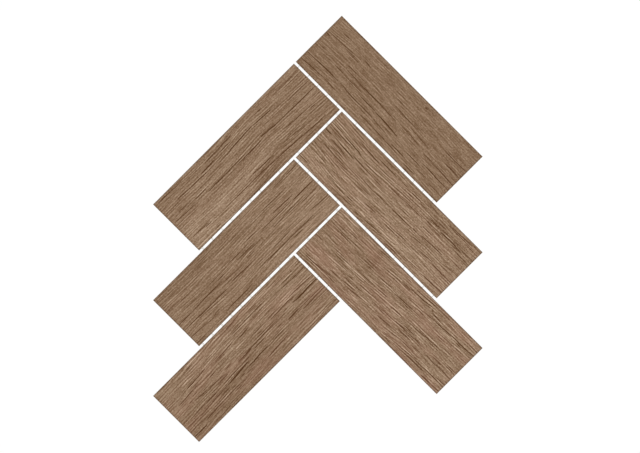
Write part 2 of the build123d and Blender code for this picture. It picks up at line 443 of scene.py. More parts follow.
# %% The third tile on the right
# Brushed and pink, with pale ridges along its middle and two deep nicks.
plan_grain(
    "right_3",
    tone=0.498, contrast=1.0, bands=0.3, lines=0.28, brushed=0.55,
    length=10, pink=0.65,
    rise=[(0, 3.0), (40, 2.0), (77, 0.0), (110, -2.0), (153, -3.0)],
    dark=[
        (28, 7.2, 34, 7.0, 1.2, 0.3), (3, 13.2, 22, 13.3, 0.8, 0.5), (45, 2.1, 56, 2.0, 0.9, 0.75),
        (42, 14.7, 62, 14.7, 1.2, 0.5), (56, 17.4, 78, 16.9, 1.0, 0.3), (42, 25.5, 62, 24.9, 0.9, 0.45),
        (63, 25.0, 74, 24.3, 1.0, 0.75), (60, 28.5, 77, 27.6, 1.0, 0.75), (23, 29.7, 33, 28.7, 0.9, 0.35),
        (52, 31.9, 75, 30.9, 0.9, 0.35), (67, 34.6, 80, 34.0, 0.9, 0.6), (28, 40.1, 38, 39.6, 1.3, 0.55),
        (38, 39.6, 53, 38.4, 1.0, 0.6), (45, 40.7, 60, 39.2, 1.3, 0.35), (6, 45.6, 33, 43.6, 1.1, 0.9),
        (85, 4.3, 110, 2.6, 0.9, 0.8), (73, 7.5, 83, 7.2, 0.9, 0.75), (82, 7.1, 102, 5.6, 1.0, 1.1),
        (117, 5.2, 128, 5.6, 0.9, 0.4), (134, 5.3, 153, 5.4, 0.9, 0.6), (112, 11.4, 130, 10.3, 1.1, 0.9),
        (129, 10.3, 153, 9.8, 1.1, 0.9), (136, 11.8, 141, 11.8, 1.0, 0.75), (76, 18.1, 94, 17.2, 1.2, 0.75),
        (103, 22.9, 140, 21.5, 0.9, 0.15), (104, 25.7, 134, 24.2, 1.0, 0.6), (80, 27.3, 91, 26.6, 1.1, 0.5),
        (74, 33.9, 91, 33.2, 1.0, 0.5), (90, 33.2, 104, 32.3, 1.1, 0.9), (103, 32.3, 122, 32.0, 0.9, 0.85),
        (95, 35.8, 110, 34.9, 0.9, 0.7), (124, 34.6, 153, 34.8, 1.0, 0.55), (78, 39.4, 92, 38.4, 1.1, 0.9),
        (105, 40.2, 118, 39.3, 1.0, 0.75), (103, 44.3, 122, 43.0, 0.9, 0.6),
        (120, 43.1, 153, 42.6, 1.0, 0.75), (104, 45.9, 118, 45.2, 0.9, 0.6), (113, 45.4, 135, 44.9, 1.1, 0.9),
        (134, 48.1, 143, 47.8, 1.3, 2.0), (145, 47.6, 152, 47.5, 0.9, 1.3), (98, 49.3, 125, 49.3, 0.9, 0.9),
        (44, 10.7, 52, 10.7, 0.9, 0.4), (43, 8.0, 50, 8.0, 0.9, 0.5), (13, 15.0, 25, 14.6, 0.8, 0.4),
        (11, 18.4, 20, 18.3, 0.8, 0.4), (25, 27.2, 34, 27.1, 0.8, 0.4), (1, 28.4, 8, 28.5, 0.9, 0.6),
        (40, 33.5, 46, 33.4, 1.0, 0.6), (47, 35.5, 56, 35.6, 0.8, 0.4), (38, 36.8, 48, 36.2, 0.8, 0.15),
        (9, 39.4, 16, 39.3, 0.8, 0.5), (6, 44.0, 10, 43.8, 0.9, 0.5), (30, 45.2, 38, 45.1, 0.9, 0.85),
        (40, 45.7, 47, 45.7, 0.9, 0.45), (75, 3.3, 79, 3.1, 0.9, 0.8), (108, 2.6, 120, 2.7, 0.9, 1.0),
        (105.5, 7.2, 106.8, 7.2, 1.4, 0.9), (106, 8.2, 118, 7.8, 0.8, 0.5), (100, 12.0, 114, 11.1, 1.2, 0.5),
        (83, 12.9, 99, 12.9, 0.8, 0.4), (97, 14.6, 106, 14.6, 0.8, 0.4), (94, 17.2, 106, 16.9, 0.8, 0.3),
        (121, 17.9, 130, 17.4, 0.9, 0.5), (99, 26.1, 105, 25.6, 0.9, 0.4), (98, 30.2, 111, 29.8, 0.9, 0.8),
        (143, 28.4, 151, 28.3, 0.9, 0.35), (143, 29.8, 151, 29.7, 0.8, 0.5), (130, 31.7, 145, 31.6, 0.9, 0.5),
        (75, 35.2, 82, 34.8, 0.8, 0.8), (113, 37.1, 121, 36.7, 0.9, 0.6), (122, 37.0, 131, 36.9, 0.8, 0.4),
        (144, 41.1, 152, 40.8, 0.9, 0.5), (89, 45.1, 99, 44.1, 0.9, 0.6), (93, 46.8, 99, 47.7, 0.9, 0.5),
        (81, 46.9, 88, 47.2, 0.9, 0.4),
    ],
    pale=[
        (4, 2.4, 22, 2.5, 0.9, 0.7), (2, 6.3, 25, 6.9, 1.0, 0.95), (31, 28.1, 52, 26.9, 1.1, 1.2),
        (62, 27.7, 80, 26.3, 0.9, 1.4), (74, 26.6, 89, 25.5, 1.0, 1.1), (82, 28.1, 92, 27.6, 0.9, 1.3),
        (33, 32.4, 51, 30.9, 0.9, 0.6), (52, 33.3, 75, 31.6, 0.9, 0.6), (22, 41.5, 42, 40.5, 0.9, 0.6),
        (43, 37.8, 56, 37.1, 0.9, 0.5), (62, 18.4, 80, 17.3, 0.8, 0.7), (103, 24.1, 140, 22.3, 1.0, 0.6),
        (83, 34.2, 100, 33.2, 0.9, 0.6), (121, 12.9, 131, 11.8, 0.9, 1), (135, 14.0, 142, 13.8, 0.9, 0.7),
        (123, 41.0, 137, 40.5, 0.9, 0.6), (135, 4.4, 153, 3.6, 0.9, 0.6), (9, 44.7, 17, 44.2, 0.9, 1.3),
        (11, 19.3, 19.5, 19.2, 0.9, 0.8), (40, 22.2, 46, 22.2, 0.8, 0.5), (44, 24.0, 57, 24.0, 0.9, 0.6),
        (2, 29.4, 8, 29.4, 0.9, 0.7), (15, 33.7, 33, 32.9, 0.8, 0.6), (40, 34.6, 46, 34.5, 0.8, 0.15),
        (24, 36.2, 32, 35.4, 0.9, 1.0), (57, 38.7, 75, 37.4, 0.9, 1.0), (28.5, 38.4, 32, 38.3, 1.2, 0.8),
        (47, 41.3, 58, 40.7, 0.8, 0.15), (49, 42.8, 60, 42.1, 0.8, 0.8), (9, 40.4, 17, 40.4, 0.9, 0.6),
        (88, 4.9, 98, 4.4, 0.9, 0.6), (91, 14.3, 95, 14.2, 1.0, 0.8), (107, 13.9, 111, 13.8, 0.9, 0.9),
        (127, 13.8, 133, 13.7, 0.9, 0.35), (90, 19.4, 94, 19.4, 0.9, 0.5), (109, 27.0, 118, 26.7, 0.8, 0.5),
        (107, 28.6, 118, 28.3, 0.8, 0.8), (143, 27.2, 152, 27.1, 0.8, 0.3), (125, 35.8, 132, 35.8, 0.8, 0.5),
        (116, 38.5, 124, 38.1, 0.9, 0.6), (108, 43.3, 121, 42.3, 0.9, 0.9), (123, 42.3, 150, 41.9, 0.8, 0.5),
        (86, 44.5, 94, 44.0, 0.9, 0.6),
    ],
    shades=[
        (-10, 8, 62, 21, -6), (-10, 45, 60, 52, -7), (110, 46, 130, 52, -6), (84, 0, 160, 12, 4),
        (132, 37, 160, 52, 8), (14, 21, 48, 35, -5), (94, 29, 112, 35, 6), (108, 22, 136, 27, 5),
        (22, 6.5, 36, 8.5, -6), (60, 38.3, 76, 40.5, -6), (112, 28.3, 132, 30, -5),
    ],
)

# %% The first tile on the left
# Long even pores, and a pale broad area of heartwood near its lower edge.
plan_grain(
    "left_1",
    tone=0.462, contrast=0.95, bands=0.7, lines=0.29, brushed=0.35,
    length=20, pink=0.1,
    rise=[(0, 0.2), (45, 0.8), (60, 0.8), (97, -0.8), (115, 0.0), (153, 1.6)],
    dark=[
        (4, 1.9, 17, 2.4, 1.0, 0.9), (16, 2.5, 28, 2.8, 0.8, 0.7), (50, 5.7, 66, 5.2, 0.9, 0.75),
        (64, 5.2, 80, 5.0, 0.9, 0.95), (65, 8.0, 78, 7.7, 0.8, 0.7), (43, 9.4, 58, 9.3, 1.1, 0.75),
        (15, 10.4, 30, 11.0, 0.9, 0.6), (28, 11.0, 47, 11.5, 0.9, 0.75), (57, 13.4, 74, 12.5, 0.8, 0.6),
        (70, 12.6, 90, 11.2, 0.8, 0.75), (85, 11.3, 97, 11.1, 0.8, 0.6), (97, 11.2, 116, 12.6, 0.9, 0.95),
        (9, 18.0, 23, 18.8, 0.8, 0.75), (25, 20.1, 38, 20.3, 0.9, 0.75), (2, 21.9, 24, 22.7, 0.9, 0.75),
        (38, 23.0, 55, 22.8, 1.0, 0.9), (52, 22.8, 78, 22.4, 0.8, 0.45), (66, 24.2, 95, 24.0, 1.0, 0.75),
        (95, 21.9, 110, 23.1, 1.1, 0.9), (108, 23.2, 153, 23.8, 1.0, 0.75), (129, 16.8, 153, 16.9, 0.8, 0.6),
        (127, 5.3, 153, 5.5, 0.8, 0.6), (107, 6.2, 110, 6.3, 1.4, 0.7), (113, 30.6, 131, 31.2, 0.9, 0.6),
        (138, 33.0, 142, 33.2, 1.0, 0.75), (109, 36.2, 125, 37.2, 0.8, 0.5), (112, 38.3, 126, 38.9, 0.8, 0.6),
        (70, 38.0, 93, 38.4, 1.0, 0.9), (44, 41.4, 66, 41.8, 0.8, 0.6), (65, 41.2, 90, 42.1, 0.9, 0.75),
        (85, 42.2, 119, 43.2, 1.0, 0.75), (118, 44.6, 143, 45.0, 0.9, 0.75), (4, 39.4, 22, 39.7, 1.0, 0.65),
        (16, 41.0, 23, 41.1, 0.8, 0.8), (21, 47.4, 26, 47.0, 1.0, 0.6), (64, 48.5, 88, 48.8, 0.9, 0.25),
    ],
    pale=[
        (30, 35.0, 90, 36.0, 1.2, 0.4), (40, 44.5, 70, 45.0, 1.0, 0.5), (58, 14.2, 78, 13.6, 0.8, 0.5),
        (27, 19.2, 50, 19.0, 0.8, 0.7), (106, 15.4, 124, 15.9, 0.7, 0.5), (112, 37.4, 124, 37.9, 0.8, 0.6),
    ],
    shades=[
        (-10, 31, 66, 50, 12), (66, 31, 100, 40, 8), (76, 38, 160, 52, -8), (85, 17, 150, 23, -4),
        (-10, 0, 40, 8, -6), (45, 24, 95, 28, -3), (-10, 45, 22, 52, 9), (46, 44, 84, 52, -9),
        (102, 0, 130, 13, -4), (102, 45, 128, 52, 6),
    ],
)

# %% The second tile on the left
# Very long straight pores, and a dark upper corner at the outer end.
plan_grain(
    "left_2",
    tone=0.468, contrast=0.9, bands=0.6, lines=0.27, brushed=0.35,
    length=16, pink=0.1,
    rise=[(0, 0.0), (60, 1.0), (80, 0.5), (110, 0.0), (153, 0.6)],
    dark=[
        (13, 15.7, 38, 15.8, 0.9, 0.4), (0, 27.3, 14, 27.9, 0.9, 0.6), (15, 27.3, 48, 27.1, 0.9, 0.9),
        (46, 28.9, 78, 29.0, 0.8, 0.4), (0, 33.5, 47, 34.2, 1.0, 0.9), (53, 32.8, 75, 33.0, 1.0, 0.9),
        (0, 22.0, 58, 22.3, 0.6, 0.4), (60, 20.9, 73, 21.2, 0.9, 0.55), (47, 24.5, 53, 24.3, 0.9, 0.6),
        (0, 40.8, 18, 41.6, 0.8, 0.8), (0, 47.2, 9, 47.5, 0.9, 0.6), (23, 42.0, 33, 40.6, 0.8, 0.3),
        (24, 43.2, 29, 43.4, 0.8, 0.4), (34, 45.7, 63, 45.3, 0.9, 0.75), (125, 4.4, 139, 4.2, 0.8, 0.5),
        (140, 4.2, 153, 4.1, 1.1, 0.9), (85, 11.8, 100, 12.1, 0.8, 0.5), (108, 11.0, 133, 10.8, 0.8, 0.6),
        (92, 15.6, 107, 15.6, 0.9, 0.3), (112, 18.0, 132, 18.3, 1.0, 1.1), (83, 18.5, 95, 18.6, 0.9, 0.6),
        (96, 21.2, 131, 21.1, 0.9, 0.75), (130, 21.5, 153, 21.9, 1.1, 1.1), (67, 23.8, 87, 24.2, 0.9, 0.75),
        (79, 25.3, 94, 25.1, 0.8, 0.35), (104, 25.8, 130, 25.3, 0.8, 0.75), (73, 28.0, 82, 28.4, 0.8, 0.8),
        (88, 28.6, 94, 26.8, 0.8, 0.4), (129, 27.4, 153, 27.7, 0.9, 0.35), (92, 36.9, 113, 36.8, 0.8, 0.6),
        (133, 36.4, 153, 37.9, 0.8, 0.5), (82, 41.2, 104, 40.6, 0.9, 0.75), (100, 40.5, 133, 40.8, 1.0, 0.9),
        (110, 42.5, 120, 42.6, 0.9, 0.75), (101, 46.1, 110, 45.9, 0.9, 0.4),
    ],
    pale=[
        (79, 42.2, 105, 41.8, 0.8, 0.6), (60, 37.6, 80, 37.4, 0.9, 0.4),
    ],
    shades=[
        (-10, 0, 74, 9, -11), (20, 22, 62, 35, -5), (82, 43, 160, 52, 10), (115, 30, 160, 42, 6),
        (35, 44, 62, 52, -10), (95, 0, 160, 12, 2), (-10, 10, 28, 19, -5), (94, 37, 126, 42, 6),
        (108, 13, 148, 28, 5),
    ],
)

# %% The third tile on the left
# Short and long pores in every row, with two stout ones below its middle.
plan_grain(
    "left_3",
    tone=0.462, contrast=0.85, bands=0.4, lines=0.26, brushed=0.52,
    length=12, pink=0.45,
    rise=[(0, 2.0), (30, 1.0), (70, -0.6), (110, -1.4), (153, -1.4)],
    dark=[
        (31, 3.6, 39, 3.4, 0.9, 0.6), (22, 14.4, 38, 14.2, 1.0, 0.9), (36, 14.1, 43, 13.3, 1.0, 0.75),
        (47, 15.3, 73, 13.9, 1.0, 0.75), (9, 19.7, 17, 19.2, 1.1, 0.5), (15, 19.1, 26, 18.2, 1.0, 0.9),
        (42, 20.7, 46, 20.7, 1.0, 0.6), (20, 25.2, 33, 25.9, 1.0, 0.75), (33, 26.1, 51, 27.1, 0.9, 0.55),
        (41, 29.2, 53, 28.8, 1.0, 0.75), (64, 28.0, 80, 27.5, 1.2, 0.9), (24, 33.2, 37, 32.7, 1.1, 0.75),
        (28, 35.2, 47, 34.8, 0.9, 0.5), (47, 34.6, 71, 33.1, 1.6, 1.1), (1, 36.5, 13, 35.9, 1.0, 0.65),
        (15, 37.2, 25, 36.2, 0.9, 0.5), (68, 36.3, 80, 35.5, 1.1, 0.75), (15, 42.0, 36, 41.1, 1.1, 0.9),
        (36, 41.0, 60, 40.8, 0.9, 0.35), (48, 42.1, 55, 42.2, 1.0, 0.6), (0, 45.2, 14, 44.9, 1.1, 1.5),
        (19, 48.1, 37, 47.3, 0.8, 0.35), (74, 3.5, 90, 2.7, 1.1, 1.1), (88, 8.9, 110, 8.7, 0.9, 0.75),
        (97, 6.7, 106, 6.5, 1.0, 0.6), (130, 8.8, 142, 8.8, 0.9, 0.3), (92, 11.7, 106, 11.7, 0.9, 0.6),
        (129, 11.7, 153, 12.1, 1.1, 0.55), (78, 15.1, 90, 14.4, 1.1, 0.75), (103, 20.8, 120, 20.1, 0.9, 0.4),
        (128, 19.9, 153, 20.5, 1.0, 0.75), (105, 22.3, 133, 21.9, 1.1, 0.75), (84, 21.1, 101, 20.7, 0.9, 0.5),
        (73, 27.4, 112, 25.7, 1.0, 0.75), (126, 25.3, 152, 25.1, 1.4, 1.1), (81, 29.4, 92, 28.8, 1.1, 0.5),
        (105, 30.5, 109, 30.4, 1.0, 0.45), (115, 32.2, 127, 31.8, 1.6, 0.8), (126, 31.9, 153, 32.1, 0.8, 0.8),
        (74, 35.6, 90, 35.0, 1.1, 0.7), (128, 34.2, 153, 34.0, 1.1, 0.9), (107, 36.0, 153, 36.0, 0.7, 0.4),
        (84, 41.3, 106, 40.4, 1.1, 0.75), (26, 18.3, 31, 18.2, 0.8, 0.5), (38, 19.0, 47, 18.6, 0.8, 0.4),
        (21, 22.0, 26, 21.9, 0.8, 0.4), (15.5, 24.0, 18.5, 24.0, 0.9, 0.5), (52, 25.2, 61, 24.8, 0.9, 0.6),
        (45, 27.3, 52, 27.3, 0.9, 0.5), (44, 32.2, 78, 30.9, 0.8, 0.4), (36, 37.1, 47, 36.8, 0.9, 0.5),
        (57, 37.4, 63, 37.3, 0.9, 0.5), (62, 39.0, 72, 39.0, 0.9, 0.5), (46, 39.1, 53, 39.1, 0.9, 0.4),
        (29, 47.6, 38, 47.1, 0.9, 0.6), (62, 3.8, 77, 3.4, 0.9, 0.5), (79, 7.4, 87, 7.0, 0.9, 0.5),
        (106, 6.4, 140, 6.1, 0.8, 0.4), (75, 9.3, 88, 9.0, 0.8, 0.6), (75, 11.0, 90, 10.7, 0.8, 0.5),
        (103, 16.6, 112, 16.3, 0.9, 0.5), (133, 18.4, 150, 18.3, 0.8, 0.4), (90, 23.3, 95, 23.7, 0.9, 0.5),
        (116, 25.2, 121, 25.1, 0.8, 0.5), (95, 35.0, 108, 34.6, 0.9, 0.5), (75, 41.4, 84, 41.3, 0.9, 0.4),
        (140, 7.5, 146, 7.5, 0.8, 0.5),
    ],
    pale=[
        (31, 2.2, 50, 1.9, 1.2, 1.1), (21, 15.3, 41, 14.9, 1.0, 0.9), (6, 9.0, 30, 7.7, 0.8, 0.6),
        (50, 8.8, 72, 7.4, 0.9, 0.9), (21, 10.5, 29, 10.0, 1.1, 0.7), (38, 12.9, 55, 11.7, 0.9, 0.85),
        (73, 10.3, 103, 9.5, 1.0, 0.7), (70, 19.7, 80, 18.9, 1.0, 0.7), (104, 3.8, 120, 3.5, 1.1, 0.95),
        (120, 17.7, 133, 17.4, 1.0, 0.5), (115, 19.5, 140, 19.2, 1.1, 0.7), (140, 19.3, 153, 19.9, 0.9, 0.7),
        (108, 21.1, 135, 20.8, 0.9, 0.6), (44, 25.3, 53, 24.4, 0.9, 0.6), (30, 7.6, 47, 6.7, 0.8, 0.4),
        (49, 14.4, 77, 13.1, 0.9, 0.6), (48, 17.7, 72, 16.5, 0.8, 0.5), (53, 23.6, 60, 23.3, 1.4, 0.5),
        (56, 27.5, 67, 27.0, 0.8, 0.4), (25, 29.4, 33, 29.0, 0.9, 0.6), (41, 33.0, 72, 31.7, 0.8, 0.5),
        (4, 44.0, 14, 43.6, 0.9, 0.6), (27, 48.5, 37, 48.3, 0.9, 0.6), (61, 2.8, 71, 2.8, 0.9, 0.6),
        (64, 11.6, 73, 11.5, 0.9, 0.5), (87, 11.4, 94, 13.0, 0.9, 0.5), (106, 5.3, 121, 5.1, 0.9, 0.5),
        (109, 14.9, 120, 14.9, 0.9, 0.5), (93, 29.7, 100, 28.9, 0.9, 0.5), (107, 35.4, 150, 35.3, 0.8, 0.4),
        (116, 39.3, 121, 39.2, 1.0, 0.6), (103.5, 42.5, 106.5, 42.4, 1.1, 0.6),
        (126, 43.8, 134, 43.8, 0.9, 0.5), (137, 42.3, 142, 42.7, 0.9, 0.5), (140, 6.6, 148, 6.6, 0.9, 0.5),
        (127, 8.1, 140, 8.0, 0.8, 0.4),
    ],
    shades=[
        (-10, 36, 45, 43, -10), (0, 29, 110, 37, -5), (60, 37, 100, 50, -5), (122, 12, 160, 21, 8),
        (-10, 0, 160, 10, 5), (132, 42, 150, 52, 3), (128, 22, 160, 29, 9), (66, 9, 104, 20, 5),
        (26, 43, 66, 52, -8),
    ],
)

# %% [markdown]
# ## A tile that can carry relief
#
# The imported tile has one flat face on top, with nothing to shape. Sculpting needs many small faces,
# but only there. So a copy of the tile is welded, its top and bevel are taken off, and a fine grid is
# set in their place. The grid's border is extruded outwards and down to make the bevel again, and the
# rim of the sides is divided to the same steps, so that welding closes the block. The faces are four
# times as long as wide, because wood changes slowly along its fibres and quickly across them.

# %% Build the block
FACE_STEP = (1.0 * MM, 0.25 * MM)
WELD = 0.002 * MM
FLAT_ANGLE = math.radians(1)  # faces that meet at less than this are one
FACING_UP = 0.5  # a normal's z from which a face belongs to the top or its bevel
FACING_DOWN = -0.3  # and below which it belongs to the back
GLAZE, SAWN, BACK = range(3)  # material slots of a tile

steps_along = round(tile_length / FACE_STEP[0])
steps_across = round(tile_width / FACE_STEP[1])


def open_block(name, seat):
    """A copy of a packed tile in its own frame, without its top, whose rim has the steps of the face."""
    bm = bmesh.new()
    bm.from_mesh(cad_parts[f"tile_{name}"].data)
    bm.transform(seat.inverted())
    bmesh.ops.remove_doubles(bm, verts=bm.verts, dist=WELD)
    bmesh.ops.dissolve_limit(bm, angle_limit=FLAT_ANGLE, verts=bm.verts, edges=bm.edges)
    top = [face for face in bm.faces if face.normal.z > FACING_UP]
    bmesh.ops.delete(bm, geom=top, context="FACES")
    for face in bm.faces:
        face.material_index = BACK if face.normal.z < FACING_DOWN else SAWN
    rim = [edge for edge in bm.edges if edge.is_boundary]
    long_rim = [edge for edge in rim if edge.calc_length() > (tile_length + tile_width) / 2]
    short_rim = [edge for edge in rim if edge not in long_rim]
    bmesh.ops.subdivide_edges(bm, edges=long_rim, cuts=steps_along - 1)
    bmesh.ops.subdivide_edges(bm, edges=short_rim, cuts=steps_across - 1)
    return bm


def close_with_grid(bm):
    """Sets a fine grid and the bevel round it into the open top of a block."""
    grid = bmesh.ops.create_grid(bm, x_segments=steps_along, y_segments=steps_across, size=0.5)["verts"]
    bmesh.ops.scale(bm, verts=grid, vec=(tile_length - 2 * arris, tile_width - 2 * arris, 1))
    bmesh.ops.translate(bm, verts=grid, vec=(0, 0, tile_top))
    in_grid = set(grid)
    border = [edge for edge in bm.edges if edge.is_boundary and in_grid.issuperset(edge.verts)]
    bevel = bmesh.ops.extrude_edge_only(bm, edges=border)["geom"]
    ring = [part for part in bevel if isinstance(part, bmesh.types.BMVert)]
    spread = (tile_length / (tile_length - 2 * arris), tile_width / (tile_width - 2 * arris), 1)
    bmesh.ops.scale(bm, verts=ring, vec=spread)
    bmesh.ops.translate(bm, verts=ring, vec=(0, 0, -arris))
    for part in bevel:
        if isinstance(part, bmesh.types.BMFace):
            part.material_index = SAWN
    for vertex in grid:
        for face in vertex.link_faces:
            face.smooth = face.material_index == GLAZE
    bmesh.ops.remove_doubles(bm, verts=bm.verts, dist=WELD)
    bmesh.ops.recalc_face_normals(bm, faces=bm.faces)


def gridded_tile(name, seat):
    """A closed copy of a packed tile, in its own frame, whose top is a fine grid of faces."""
    bm = open_block(name, seat)
    close_with_grid(bm)
    open_edges = sum(edge.is_boundary for edge in bm.edges)
    mesh = bpy.data.meshes.new(f"oak_tile_{name}")
    bm.to_mesh(mesh)
    bm.free()
    print(mesh.name, len(mesh.polygons), "faces,", open_edges, "open edges")
    return mesh


# %% [markdown]
# ## Grain marks as attributes
#
# A mark could be painted in the shader, or cut in the mesh. A pore is both, a groove that holds more
# stain, so each mark is worked out once for every point of the grid and kept as an attribute: the
# shader darkens where `pore` is high, and the mesh sinks there. `pale` and `shade` are kept the same
# way, and `rim` is 1 at the edge of the face and 0 a little inside it: a band of painted shade that
# darkens the face along its edges.
#
# A straight mark looks drawn with a ruler, so each one tapers to its ends and wavers by a tenth of a
# millimetre, never in step with the next.

# %% Draw the marks and the soft areas
MARK_HALF = 0.27  # of a mark's width, from its middle to where it has faded to about a third
WAVERS = ((0.12, 0.23, 2.1), (0.05, 0.9, 1))  # mm to the side, radians per mm, radians per mark
SHADE_EDGE = (8.0, 2.2)  # how softly a broad area ends, in mm


def marks(u, v, lines):
    """How strongly the listed lines mark each point: thin, tapered and slightly wavy."""
    strength = np.zeros_like(u)
    for number, (u_start, v_start, u_end, v_end, width, depth) in enumerate(lines):
        share = (u - u_start) / (u_end - u_start)
        inside = np.clip(share, 0, 1)
        waver = sum(reach * np.sin(turn * u + shift * number) for reach, turn, shift in WAVERS)
        off = v - (v_start + (v_end - v_start) * inside + waver)
        taper = np.sqrt(np.clip(4 * inside * (1 - inside), 0, 1)) + 1e-6  # it divides, so never 0
        half = MARK_HALF * width * taper
        line = depth * np.exp(-np.square(off / half)) * (share > 0) * (share < 1)
        strength = np.maximum(strength, line)
    return strength


def soft_step(off_edge):
    """0 well outside an edge, 1 well inside it, and a half on it."""
    return 0.5 + 0.5 * np.tanh(off_edge)


def shades(u, v, areas):
    """How much broad soft areas lighten or darken each point, in levels of 0 to 255."""
    total = np.zeros_like(u)
    for u_start, v_start, u_end, v_end, levels in areas:
        inside = soft_step((u - u_start) / SHADE_EDGE[0]) * soft_step((u_end - u) / SHADE_EDGE[0])
        inside *= soft_step((v - v_start) / SHADE_EDGE[1]) * soft_step((v_end - v) / SHADE_EDGE[1])
        total += levels * inside
    return total


# %% [markdown]
# ## Press the grain in
#
# The mesh sinks by the depth of the marks, and by a little noise between them, as the embossed plank
# does. The points also get a UV map named `grain`, in metres along and across the fibres, which wanders
# as the fibres do. Off the face the same map is a plain ruler, from the spine of the herringbone and
# from the tile's upper edge, by which the back can tell where the strands of the net cross it.

# %% Press the grain in
PORE_DEPTH = 0.16 * MM  # of a dark mark whose depth is 1
BRUSH_DEPTH = 0.06 * MM  # of a pale one
FIBRE_RELIEF = 0.05 * MM  # between the marks, at its deepest
FIBRE_STEPS = (12.0 * MM, 0.9 * MM)  # of that relief, along and across the fibres
WANDER = 0.5  # of the fibres across the tile, in mm, over the steps below
WANDER_STEPS = (34.0, 12.0)
# width of the band of painted shade along the face's edge
EDGE_SHADE_WIDTH = 1.3 * MM
TONE_LEVELS = 120  # of 255, from a tone of 0 to a tone of 1
SEED_STEP = 0.5  # metres of noise between one tile's piece of it and the next one's


def smooth_curve(places, points):
    """A smooth line through (place, height) points, read at many places."""
    knots = np.array(points, float)
    nearest = np.clip(np.searchsorted(knots[:, 0], places) - 1, 0, len(knots) - 2)
    start, end = knots[nearest], knots[nearest + 1]
    share = np.clip((places - start[:, 0]) / (end[:, 0] - start[:, 0]), 0, 1)
    return start[:, 1] + (end[:, 1] - start[:, 1]) * share * share * (3 - 2 * share)


def seed_of(name):
    """A whole number for each tile, so that no two share their noise."""
    return 1 + list(GRAINS).index(name)


def keep_on(mesh, layers, along, across):
    """Keeps a value of each layer for every point, and where the point lies in the grain as its UV."""
    for layer, values in layers.items():
        mesh.attributes.new(layer, "FLOAT", "POINT").data.foreach_set("value", values.astype(np.float32))
    places = np.stack([along, across], -1).astype(np.float32)
    corner_points = np.empty(len(mesh.loops), np.int32)
    mesh.loops.foreach_get("vertex_index", corner_points)
    mesh.uv_layers.new(name="grain").uv.foreach_set("vector", places[corner_points].ravel())


def grained(mesh, name):
    """Gives a gridded tile its grain map, its marks and its relief."""
    grain = GRAINS[name]
    points = np.empty(len(mesh.vertices) * 3, np.float32)
    mesh.vertices.foreach_get("co", points)
    points = points.reshape(-1, 3)
    u = (points[:, 0] + tile_length / 2) / MM
    v = (tile_width / 2 - points[:, 1]) / MM
    on_face = points[:, 2] > tile_top - arris / 2
    pore = marks(u, v, grain["dark"]) * on_face
    pale = marks(u, v, grain["pale"]) * on_face
    shade = shades(u, v, grain["shades"]) * on_face
    seed = seed_of(name)
    wander = [noise.noise((a / WANDER_STEPS[0], b / WANDER_STEPS[1], seed)) for a, b in zip(u, v)]
    across = (v - smooth_curve(u, grain["rise"]) + WANDER * np.array(wander)) * MM
    along = u * MM + SEED_STEP * seed
    from_spine = points[:, 0] * (1 if name.startswith("right") else -1) + tile_length / 2

    fibres = [noise.noise((a / FIBRE_STEPS[0], b / FIBRE_STEPS[1], 0)) if top else 0
              for a, b, top in zip(along, across, on_face)]
    sink = PORE_DEPTH * pore + BRUSH_DEPTH * pale + FIBRE_RELIEF * (0.5 - 0.5 * np.array(fibres))
    points[:, 2] -= sink * on_face
    mesh.vertices.foreach_set("co", points.ravel())

    # rim: painted shade, 1 at the face's edge and 0 a band's width inside it
    to_edge = np.minimum(tile_length / 2 - abs(points[:, 0]), tile_width / 2 - abs(points[:, 1]))
    rim = np.clip(1 - (to_edge - arris) / EDGE_SHADE_WIDTH, 0, 1)
    layers = {"pore": pore, "pale": pale, "shade": shade / TONE_LEVELS, "rim": rim}
    keep_on(mesh, layers, np.where(on_face, along, from_spine), np.where(on_face, across, v * MM))
    mesh.update()
    print(mesh.name, "sinks by up to", round(sink.max() / MM, 2), "mm")


# %% [markdown]
# ## The glaze
#
# The printed oak is one family of browns: from a dark pore to a pale brushed fibre the hue hardly
# changes, so one number, the tone, carries the whole grain, and a colour ramp turns it into colour.
#
# Stretched noise alone gives soft streaks, like felt. Real oak has lines, so the tone has three parts.
# Noises stretched along the fibres give slow bands, fine fibres, flecks and grit. Lines come from a
# ruler across the fibres that a slow noise bends: wherever it passes a whole number there is a line,
# dark where vessels open and pale where a ridge is rubbed. Each line fades in and out, and what it
# takes from the tone it gives back between, so that many lines don't add up to a blotch. Last, a fine
# comb of ridges and furrows follows the bristles of the brush.

# %% The glaze's colours and strengths
BROWNS = [
    (0, srgb(75, 44, 12)),
    (0.333, srgb(118, 90, 64)),
    (0.667, srgb(157, 131, 106)),
    (1, srgb(199, 173, 148)),
]
PINK = srgb(158, 117, 97)
LINE_HALF = 0.5 * MM  # from the middle of a thin line to its edge
VESSEL_STEPS = (1.75 * MM, 2.9 * MM)  # between thin dark lines, the close ones and the sparse ones
RIDGE_STEP = 1.95 * MM  # between thin pale lines
COMB_STEP = 1.9 * MM  # between furrows of the brush
FLOW = 0.55  # how far, in steps, the lines bend with the fibres
SLOW, FINE, FLECKS, GRIT = 0.05, 0.17, 0.10, 0.18  # how much of the tone each noise moves
RIDGED, COMBED = 0.4, 0.45  # and each kind of brushwork
PORE_TONE, PALE_TONE, EDGE_SHADE_TONE = -1.2, 0.6, -0.1  # and a full mark, and the painted shade along the face's edge
print("the tone runs from", BROWNS[0][0], "to", BROWNS[-1][0], "in", len(BROWNS), "browns")

# %% [markdown]
# ## The glaze's nodes
#
# Each part of the tone is a few nodes that read the grain map, so it bends where the fibres bend. The
# sum drives the bump and the roughness as well as the colour, because on the real tile ink, relief
# and sheen are registered to each other. A material for each tile lets the six differ in strength.

